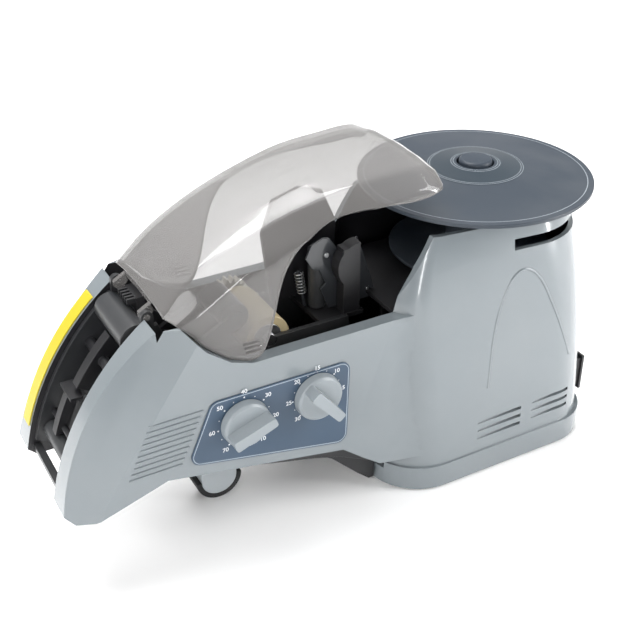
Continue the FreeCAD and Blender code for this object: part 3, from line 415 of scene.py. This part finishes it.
def cover_profile(x):
    """Half of the cover's cross-section at x, from its lower edge up to the middle of its crown."""
    crease, half, shoulder, skirt = (through(COVER_RIBS, x, c) for c in (1, 2, 3, 4))
    low = through(SKIRT_LINE, x, 1)
    crown = crease + 2.2
    top = [(skirt, shoulder), (half, crease), (half * 0.55, crease + 1.7), (0, crown)]
    path = []
    for (y1, z1), (y2, z2), count in ((top[0], top[1], 10), (top[1], top[2], 8), (top[2], top[3], 5)):
        path += [(y1 + (y2 - y1) * k / count, z1 + (z2 - z1) * k / count) for k in range(count)]
    path.append(top[3])
    if low < shoulder:
        path.insert(0, (skirt, low))
    else:
        n = next(k for k, (y, z) in enumerate(path) if z > low)
        share = (low - path[n - 1][1]) / (path[n][1] - path[n - 1][1])
        path = [(path[n - 1][0] + (path[n][0] - path[n - 1][0]) * share, low)] + path[n:]
    path = evenly(path, 60)
    for _ in range(4):
        eased = [path[0]]
        for before, here, after in zip(path, path[1:], path[2:]):
            eased.append(((before[0] + 2 * here[0] + after[0]) / 4, (before[1] + 2 * here[1] + after[1]) / 4))
        path = eased + [path[-1]]
    return evenly(path, HALF_STEPS)


cover_front, cover_rear = COVER_RIBS[0][0], COVER_RIBS[-1][0]
COVER_STEPS = 110
cover_points = []
for n in range(COVER_STEPS + 1):
    x = cover_front + (cover_rear - cover_front) * n / COVER_STEPS
    half_path = cover_profile(x)
    ring = [(-y, z) for y, z in half_path] + [(y, z) for y, z in reversed(half_path[:-1])]
    cover_points += [(x / 1000, y / 1000, z / 1000) for y, z in ring]
across = 2 * HALF_STEPS + 1
cover_faces = []
for i in range(COVER_STEPS):
    for j in range(across - 1):
        n = i * across + j
        cover_faces.append((n, n + across, n + across + 1, n + 1))
cover_mesh = bpy.data.meshes.new("clear_cover_shown")
cover_mesh.from_pydata(cover_points, [], cover_faces)
cover_mesh.update()
cover_mesh.shade_smooth()


def smoked_plastic(name, thin, thick, clear, edge_on):
    """Smoked acrylic: hazier edge-on, with faint flow streaks and finger marks in its gloss."""
    material = bpy.data.materials.new(name)
    material.use_nodes = True
    nodes, links = material.node_tree.nodes, material.node_tree.links
    shader = nodes["Principled BSDF"]
    place = nodes.new("ShaderNodeTexCoord")
    drawn = nodes.new("ShaderNodeMapping")
    drawn.inputs["Scale"].default_value = (0.35, 1, 1)
    links.new(place.outputs["Object"], drawn.inputs["Vector"])
    flow = nodes.new("ShaderNodeTexNoise")
    flow.inputs["Scale"].default_value = 30
    flow.inputs["Detail"].default_value = 4
    links.new(drawn.outputs[0], flow.inputs["Vector"])
    tint = nodes.new("ShaderNodeMix")
    tint.data_type = "RGBA"
    tint.inputs["A"].default_value = (*thin, 1)
    tint.inputs["B"].default_value = (*thick, 1)
    links.new(flow.outputs["Fac"], tint.inputs["Factor"])
    links.new(tint.outputs["Result"], shader.inputs["Base Color"])
    marks = nodes.new("ShaderNodeTexNoise")
    marks.inputs["Scale"].default_value = 26
    marks.inputs["Detail"].default_value = 2
    links.new(place.outputs["Object"], marks.inputs["Vector"])
    gloss = nodes.new("ShaderNodeMapRange")
    gloss.inputs["To Min"].default_value = 0.11
    gloss.inputs["To Max"].default_value = 0.16
    links.new(marks.outputs["Fac"], gloss.inputs["Value"])
    links.new(gloss.outputs[0], shader.inputs["Roughness"])
    facing = nodes.new("ShaderNodeLayerWeight")
    facing.inputs["Blend"].default_value = 0.4
    haze = nodes.new("ShaderNodeMapRange")
    haze.inputs["To Min"].default_value = clear
    haze.inputs["To Max"].default_value = edge_on
    links.new(facing.outputs["Facing"], haze.inputs["Value"])
    links.new(haze.outputs[0], shader.inputs["Alpha"])
    shader.inputs["IOR"].default_value = 1.49
    shader.inputs["Coat Weight"].default_value = 0.7
    shader.inputs["Coat Roughness"].default_value = 0.03
    material.surface_render_method = "BLENDED"
    return material


smoked = smoked_plastic("smoked clear plastic", (0.145, 0.139, 0.136), (0.235, 0.227, 0.222), 0.45, 0.82)
smoked_rim = smoked_plastic("cut edge of the smoked plastic", (0.06, 0.06, 0.06), (0.12, 0.115, 0.11),
                            0.85, 0.95)
cover = added("clear_cover_shown", cover_mesh, smoked, "cover")
cover_mesh.materials.append(smoked_rim)
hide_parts("clear_cover")
skin = cover.modifiers.new("wall", "SOLIDIFY")
skin.thickness = 0.0022
skin.offset = -1
skin.material_offset_rim = 1
softened(cover, 0.0005, sharper_than=50)

# Its two hinge lugs, moulded on behind the front lip: the part of the made cover that lies before
# the lip's line and between the cheeks.
LIP_LINE, LUG_REACH = -0.0905, 0.0196
lug_mesh = frame["nodes"]["clear_cover"].data.copy()
cutter = bmesh.new()
cutter.from_mesh(lug_mesh)
bmesh.ops.remove_doubles(cutter, verts=cutter.verts, dist=0.000004)
bmesh.ops.bisect_plane(cutter, geom=cutter.verts[:] + cutter.edges[:] + cutter.faces[:],
                       plane_co=(LIP_LINE, 0, 0), plane_no=(1, 0, 0), clear_outer=True)
bmesh.ops.delete(cutter, geom=[v for v in cutter.verts if abs(v.co.y) > LUG_REACH], context="VERTS")
cutter.to_mesh(lug_mesh)
cutter.free()
added("cover_lugs", lug_mesh, smoked, "cover")

# Three grip ribs stand on each skirt.
GRIP_SIZE = Vector((0.0075, 0.0008, 0.0009))
GRIP_X, GRIP_Y, GRIP_Z = -0.0545, 0.0389, 0.1028
GRIP_FORWARD, GRIP_RISE = 0.0006, 0.0022
for side in (-1, 1):
    for n in range(3):
        middle = Vector((GRIP_X - GRIP_FORWARD * n, side * GRIP_Y, GRIP_Z + GRIP_RISE * n))
        rib_mesh = block_mesh("grip rib", middle - GRIP_SIZE / 2, middle + GRIP_SIZE / 2)
        softened(added("grip_rib", rib_mesh, smoked, "cover"), 0.0003)

# ------------------------------------------------------------------ black pan, base and feet
# Everything under the machine is fine-grained black plastic: the pan that closes the arm, the
# base plate with its screws, and the ribs and guides of the tape path.

for node, edge in (("arm_under_cover", 0.0006), ("base_plate", 0.0004), ("reel_chamber_floor", 0.0004)):
    moulded(node, edge, black_plastic_and_shade)

rubber = plastic("matt black rubber", (0.016, 0.016, 0.017), 0.7, dust=0.08, peel=0.5, specular=0.3)
moulded("rubber_feet", 0.0003, rubber)
moulded("front_foot_pad", 0.0004, rubber)
light_grey = plastic("light grey plastic", (0.36, 0.39, 0.41), 0.3, dust=0.03)
moulded("front_foot", 0.0005, light_grey)

# ------------------------------------------------------------------ dial panel
# A satin blue-grey label with rounded corners on the near side of the arm. Its two scales are
# printed in white round the dials.

panel_face = plastic("blue-grey panel print", (0.034, 0.062, 0.102), 0.42, dust=0.02, peel=0.05)
moulded("control_panel", 0.0002, panel_face, steps=2)
white_print = plastic("white screen print", (0.62, 0.64, 0.66), 0.4, dust=0.02, peel=0.05)
pale_border = plastic("pale border print", (0.30, 0.35, 0.40), 0.4, dust=0.02, peel=0.05)
panel_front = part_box("control_panel")[0].y
print_y = panel_front - 0.00004


def printed(name, points, faces, material):
    """Flat screen print on the panel's face."""
    mesh = bpy.data.meshes.new(name)
    mesh.from_pydata([(x, print_y, z) for x, z in points], [], faces)
    added(name, mesh, material, "housing")


def printed_number(text, x, z, tall):
    """A number of the scale, centred on its place."""
    letters = bpy.data.curves.new("number " + text, "FONT")
    letters.body = text
    letters.size = tall
    letters.align_x = "CENTER"
    letters.align_y = "CENTER"
    letters.offset = 0.00006
    mesh = drawn_mesh(letters)
    mesh.transform(Matrix.Translation((x, print_y, z)) @ Matrix.Rotation(math.radians(90), 4, "X"))
    added("number_" + text, mesh, white_print, "housing")


NUMBER_TALL = 0.0030
DOT_CORNERS = 12
DOT_RADIUS, FINE_DOT_RADIUS = 0.00042, 0.00026


def scale_print(shaft, numbers, first, step, dot_ring, number_ring):
    """Numbers round a dial, a dot at each and a finer dot half way to the next."""
    centre = middle_of(shaft)

    def at(radius, turn):
        return centre.x + radius * math.cos(turn), centre.z + radius * math.sin(turn)

    for n in range(2 * len(numbers) - 1):
        turn = math.radians(first - step * n / 2)
        main = n % 2 == 0
        x, z = at(dot_ring, turn)
        size = DOT_RADIUS if main else FINE_DOT_RADIUS
        corner_turns = [math.tau * k / DOT_CORNERS for k in range(DOT_CORNERS)]
        corners = [(x + size * math.cos(a), z + size * math.sin(a)) for a in corner_turns]
        printed("scale_dot", corners, [tuple(range(DOT_CORNERS))], white_print)
        if main:
            printed_number(numbers[n // 2], *at(number_ring, turn), NUMBER_TALL)


scale_print("length_dial_shaft", ("70", "60", "50", "40", "30", "20", "10"), 232, 48, 0.0128, 0.0158)
scale_print("width_dial_shaft", ("30", "25", "20", "15", "10", "5", "0"), 226, 46, 0.0123, 0.0143)

# The thin pale line that runs round the panel just inside its edge.
HOLE_CLEAR = 0.008
panel_middle = middle_of("control_panel")
shafts = [middle_of(node) for node in ("length_dial_shaft", "width_dial_shaft")]
panel_corners = frame["nodes"]["control_panel"].data.vertices
face_points = [(v.co.x, v.co.z) for v in panel_corners if abs(v.co.y - panel_front) < 0.00002]
outer_line = [p for p in face_points if all(math.dist(p, (s.x, s.z)) > HOLE_CLEAR for s in shafts)]
outer_line.sort(key=lambda p: math.atan2(p[1] - panel_middle.z, p[0] - panel_middle.x))


def shrunk(line, inset):
    """A ring of points moved in towards its middle by the same step."""
    moved = []
    for k, (x, z) in enumerate(line):
        before, after = line[k - 1], line[(k + 1) % len(line)]
        run = Vector((after[0] - before[0], after[1] - before[1])).normalized()
        moved.append((x - run.y * inset, z + run.x * inset))
    return moved


border = shrunk(outer_line, 0.0006) + shrunk(outer_line, 0.0010)
around = len(outer_line)
border_faces = [(k, (k + 1) % around, around + (k + 1) % around, around + k) for k in range(around)]
printed("panel_border", border, border_faces, pale_border)

# ------------------------------------------------------------------ dials
# Two light grey knobs with a grip bar across a round foot. Each is pressed on a steel shaft.

knob_plastic = plastic("light grey knob plastic", (0.235, 0.262, 0.280), 0.3, dust=0.03)
for name in ("length", "width"):
    moulded(name + "_knob", 0.0006, knob_plastic)

# ------------------------------------------------------------------ reel
# The tape roll sits on a one-inch hub between a lower flange and a wide, slightly conical lid. The
# lid is satin dark slate plastic with a glossier printed ring round its release cap.

slate = plastic("dark slate plastic", (0.034, 0.044, 0.058), 0.42, dust=0.04, peel=0.2, specular=0.32)
reel_edges = {"reel_lid": 0.0005, "reel_flange": 0.0004, "reel_hub": 0.0004, "release_cap": 0.0005}
for node, edge in reel_edges.items():
    moulded(node, edge, slate)
glossy_ring = plastic("glossy printed ring", (0.018, 0.030, 0.042), 0.28, dust=0.02, peel=0.05, coat=0.2)
ring_line = plastic("pale ring print", (0.25, 0.28, 0.31), 0.4, dust=0.02, peel=0.05)
lid_surface = surface_of(frame["nodes"]["reel_lid"].data)
reel_axis = middle_of("reel_lid")
RING_STEPS = 120


def ring_on_lid(name, inner, outer, lift, material):
    """A thin printed ring that follows the lid's cone."""
    steps = max(2, int((outer - inner) / 0.0015))
    points, faces = [], []
    for i in range(steps + 1):
        radius = inner + (outer - inner) * i / steps
        above = Vector((reel_axis.x + radius, reel_axis.y, 0.3))
        height = lid_surface.ray_cast(above, Vector((0, 0, -1)))[0].z + lift
        for k in range(RING_STEPS):
            turn = math.tau * k / RING_STEPS
            x, y = reel_axis.x + radius * math.cos(turn), reel_axis.y + radius * math.sin(turn)
            points.append((x, y, height))
    for i in range(steps):
        for k in range(RING_STEPS):
            here, there = i * RING_STEPS + k, i * RING_STEPS + (k + 1) % RING_STEPS
            faces.append((here, here + RING_STEPS, there + RING_STEPS, there))
    mesh = bpy.data.meshes.new(name)
    mesh.from_pydata(points, [], faces)
    mesh.shade_smooth()
    added(name, mesh, material, "reel")


PRINT_LIFT, OVERPRINT_LIFT = 0.00008, 0.00013
LINE_WIDE = 0.00025
ring_on_lid("label_ring", 0.0103, 0.0238, PRINT_LIFT, glossy_ring)
for radius in (0.0108, 0.0119, 0.0222, 0.0233):
    ring_on_lid("label_line", radius, radius + LINE_WIDE, OVERPRINT_LIFT, ring_line)
ring_on_lid("rim_line", 0.0546, 0.0550, PRINT_LIFT, ring_line)

# ------------------------------------------------------------------ chassis and steel parts
# Two black-painted plates hold the rollers, with painted spacers and a painted bar between them.
# Pins, screws and shafts are turned steel, and the two blades are ground.

painted = plastic("black painted steel", (0.02, 0.021, 0.023), 0.32, dust=0.03, peel=0.1)
for node in ("chassis_near_plate", "chassis_far_plate", "chassis_spacers", "beak_bottom_bar", "cutter_lever",
             "length_potentiometer", "width_potentiometer"):
    moulded(node, 0.00025, painted, steps=2)


def turned_steel(name, colour, roughness):
    """Bare steel with fine lathe marks and faint staining."""
    material = bpy.data.materials.new(name)
    material.use_nodes = True
    nodes, links = material.node_tree.nodes, material.node_tree.links
    shader = nodes["Principled BSDF"]
    shader.inputs["Metallic"].default_value = 1
    shader.inputs["Base Color"].default_value = (*colour, 1)
    place = nodes.new("ShaderNodeTexCoord")
    marks = nodes.new("ShaderNodeTexNoise")
    marks.inputs["Scale"].default_value = 300
    marks.inputs["Detail"].default_value = 4
    links.new(place.outputs["Object"], marks.inputs["Vector"])
    spread = nodes.new("ShaderNodeMapRange")
    spread.inputs["To Min"].default_value = roughness - 0.08
    spread.inputs["To Max"].default_value = roughness + 0.12
    links.new(marks.outputs["Fac"], spread.inputs["Value"])
    links.new(spread.outputs[0], shader.inputs["Roughness"])
    return material


steel = turned_steel("turned steel", (0.56, 0.57, 0.58), 0.3)
for node in ("base_screws", "idler_pin", "feed_motor", "twist_roller_pin", "reel_spindle",
             "feed_roller_core", "motor_shaft", "length_dial_shaft", "width_dial_shaft"):
    moulded(node, 0.00015, steel, steps=2)
blade_steel = turned_steel("ground blade steel", (0.7, 0.71, 0.72), 0.22)
for node in ("fixed_blade", "moving_blade"):
    moulded(node, 0.00008, blade_steel, steps=1)

# ------------------------------------------------------------------ rollers and guides
# Dark grey rollers turn between the plates; the feed roller has a beige silicone sleeve that grips
# the tape, and black guides turn the tape from upright to flat.

roller_plastic = plastic("dark grey roller plastic", (0.03, 0.032, 0.035), 0.3, dust=0.04)
for node in ("top_front_roller", "lower_front_roller", "pinch_roller", "twist_roller"):
    moulded(node, 0.0004, roller_plastic)
silicone = plastic("beige silicone", (0.44, 0.36, 0.21), 0.45, dust=0.02, peel=0.4)
moulded("feed_roller_sleeve", 0.0004, silicone)
for node in ("twist_guide", "twist_guide_back", "tape_comb", "guide_rib", "tape_sensor", "pinch_arm",
             "tape_lever"):
    moulded(node, 0.0003, black_plastic_and_shade, steps=2)

# ------------------------------------------------------------------ twist bracket
# A pressed black plate stands behind the guide post. Its hooked arm steadies the tape as it turns;
# a bright rivet holds the arm, and a small wire spring stands on its own pin beside it.

BRACKET = (
    # x, z of the plate's outline, in millimetres
    (-9.6, 116.6), (-12.9, 122.7), (-9.6, 129.3), (-3.9, 131.5), (-0.5, 130.6), (3.4, 125.1), (9.0, 113.0),
    (10.3, 121.4), (14.6, 128.0), (17.8, 119.5), (23.3, 102.2), (25.4, 93.3), (-0.8, 93.3), (-5.2, 104.9),
    (-2.4, 107.4), (-5.8, 115.1),
)
gloss_black = plastic("glossy black paint", (0.030, 0.033, 0.038), 0.22, dust=0.02, peel=0.1, coat=0.5)
plate_front, plate_back = -0.0089, -0.0077
corners = len(BRACKET)
plate_points = [(x / 1000, y, z / 1000) for y in (plate_front, plate_back) for x, z in BRACKET]
plate_faces = [tuple(range(corners)), tuple(range(2 * corners - 1, corners - 1, -1))]
plate_faces += [(k, corners + k, corners + (k + 1) % corners, (k + 1) % corners) for k in range(corners)]
plate_mesh = bpy.data.meshes.new("twist_bracket")
plate_mesh.from_pydata(plate_points, [], plate_faces)
softened(added("twist_bracket", plate_mesh, gloss_black, "housing"), 0.0003)


def turned_pin(name, foot, way, radius, length, material):
    """A small round pin with a broken edge, from its foot along its own direction."""
    mesh = bpy.data.meshes.new(name)
    form = bmesh.new()
    bmesh.ops.create_cone(form, cap_ends=True, segments=32, radius1=radius, radius2=radius, depth=length)
    bmesh.ops.translate(form, vec=(0, 0, length / 2), verts=form.verts)
    form.to_mesh(mesh)
    form.free()
    mesh.transform(Matrix.Translation(foot) @ Vector(way).to_track_quat("Z", "Y").to_matrix().to_4x4())
    mesh.shade_smooth()
    mesh.set_sharp_from_angle(angle=math.radians(40))
    softened(added(name, mesh, material, "housing"), radius * 0.2, sharper_than=30)


turned_pin("bracket_rivet", (-0.0022, plate_front, 0.1225), (0, -1, 0), 0.0013, 0.0008, steel)
turned_pin("bracket_rivet", (0.0205, plate_front, 0.0985), (0, -1, 0), 0.0009, 0.0006, steel)

# The spring's pin leans forwards as it rises from the deck, and the wire winds round it.
PIN_FOOT = Vector((-0.0093, -0.0005, 0.0931))
PIN_LEAN = -0.16
SPRING_LOW, SPRING_TALL = 0.1000, 0.0120
SPRING_RADIUS, SPRING_TURNS, PER_TURN = 0.0021, 7, 24
turned_pin("spring_pin", PIN_FOOT, (PIN_LEAN, 0, 1), 0.0009, 0.0200, gloss_black)
wire = bpy.data.curves.new("spring wire", "CURVE")
wire.dimensions = "3D"
wire.bevel_depth = 0.00032
wire.bevel_resolution = 3
coil = wire.splines.new("POLY")
coil.points.add(SPRING_TURNS * PER_TURN - 1)
for k, point in enumerate(coil.points):
    turn = math.tau * k / PER_TURN
    height = SPRING_LOW + SPRING_TALL * k / (SPRING_TURNS * PER_TURN)
    axis_x = PIN_FOOT.x + PIN_LEAN * (height - PIN_FOOT.z)
    x, y = axis_x + SPRING_RADIUS * math.cos(turn), PIN_FOOT.y + SPRING_RADIUS * math.sin(turn)
    point.co = (x, y, height, 1)
spring_mesh = drawn_mesh(wire)
spring_mesh.shade_smooth()
added("arm_spring", spring_mesh, steel, "housing")

# ------------------------------------------------------------------ gears
# Off-white acetal spur gears on the far side of the chassis.

acetal = plastic("off-white acetal", (0.6, 0.58, 0.52), 0.35, dust=0.02)
for node in ("feed_gear", "idler_gear", "motor_pinion", "spindle_bush"):
    moulded(node, 0.0001, acetal, steps=1)

# ------------------------------------------------------------------ warning label
# A plain yellow label along the far cheek's front.

yellow = plastic("yellow label", (0.52, 0.42, 0.014), 0.4, dust=0.02, peel=0.05)
moulded("caution_strip", 0, yellow)

# ------------------------------------------------------------------ electrics
# A green circuit board with its parts, the power module, the switch and the inlet.

board = plastic("green circuit board", (0.01, 0.09, 0.03), 0.35, dust=0.02)
moulded("control_board", 0.0002, board, steps=1)
for node in ("power_module", "board_components", "switch_housing", "power_rocker", "power_inlet"):
    moulded(node, 0.0004, black_plastic_and_shade, steps=2)

# ------------------------------------------------------------------ camera, light and floor
# A pale sweep under six soft boxes: one overhead, one on the left and one on the right, two narrow
# strips, and a wide one far behind the machine that lights the sweep and leaves no highlight.

camera = bpy.data.objects.new("camera", bpy.data.cameras.new("camera"))
bpy.context.scene.collection.objects.link(camera)
right = Vector((0.8726, -0.4885, 0.0)).normalized()
ahead = Vector((0.4165, 0.7440, -0.5225)).normalized()
up = right.cross(ahead)
camera.matrix_world = Matrix.Translation(Vector((-0.2202, -0.3926, 0.3576))) @ Matrix(
    (right, up, -ahead)).transposed().to_4x4()
camera.data.lens = 60.75
camera.data.sensor_width = 36
camera.data.clip_start = 0.01
camera.data.clip_end = 20
bpy.context.scene.camera = camera

# The room is bright behind the machine and darker in front of it.
world = bpy.data.worlds.new("studio")
bpy.context.scene.world = world
world.use_nodes = True
room, room_links = world.node_tree.nodes, world.node_tree.links
room["Background"].inputs["Color"].default_value = (1.0, 1.0, 1.0, 1)
direction = room.new("ShaderNodeTexCoord")
split = room.new("ShaderNodeSeparateXYZ")
fall = room.new("ShaderNodeMapRange")
fall.inputs["From Min"].default_value = -0.75
fall.inputs["From Max"].default_value = 0.5
fall.inputs["To Min"].default_value = 0.24
fall.inputs["To Max"].default_value = 0.56
room_links.new(direction.outputs["Generated"], split.inputs[0])
room_links.new(split.outputs["Y"], fall.inputs["Value"])
room_links.new(fall.outputs[0], room["Background"].inputs["Strength"])


def soft_box(name, spot, aim, wide, tall, power):
    """An even rectangular light that faces its aim."""
    light = bpy.data.lights.new(name, "AREA")
    light.shape = "RECTANGLE"
    light.size = wide
    light.size_y = tall
    light.energy = power
    thing = bpy.data.objects.new(name, light)
    bpy.context.scene.collection.objects.link(thing)
    thing.location = spot
    thing.rotation_mode = "QUATERNION"
    thing.rotation_quaternion = (Vector(aim) - Vector(spot)).to_track_quat("-Z", "Y")
    return thing


soft_box("top box", (-0.1, 0.25, 0.9), (0, 0, 0.05), 0.7, 0.5, 9)
soft_box("left box", (-0.9, -0.35, 0.5), (0, 0, 0.08), 0.5, 0.7, 6.5)
soft_box("right box", (0.8, -0.5, 0.6), (0, 0, 0.08), 0.4, 0.7, 6.5)
soft_box("right strip", (0.62, -0.52, 0.16), (0.09, 0, 0.07), 0.06, 0.5, 3)
soft_box("front strip", (-0.28, -0.8, 0.3), (0, 0, 0.07), 0.08, 0.5, 2)
backdrop_box = soft_box("backdrop box", (1.1, 2.0, 1.6), (1.0, 1.8, 0), 2.4, 1.6, 90)
backdrop_box.visible_glossy = False

floor_paint = bpy.data.materials.new("white sweep")
floor_paint.use_nodes = True
paint = floor_paint.node_tree.nodes["Principled BSDF"]
paint.inputs["Base Color"].default_value = (0.92, 0.92, 0.92, 1)
paint.inputs["Roughness"].default_value = 0.7
sweep_mesh = bpy.data.meshes.new("sweep")
reach = 4
sweep_mesh.from_pydata([(-reach, -reach, 0), (reach, -reach, 0), (reach, reach, 0), (-reach, reach, 0)], [],
                       [(0, 1, 2, 3)])
sweep_mesh.materials.append(floor_paint)
sweep = bpy.data.objects.new("sweep", sweep_mesh)
bpy.context.scene.collection.objects.link(sweep)
bpy.context.scene.view_settings.view_transform = "Standard"
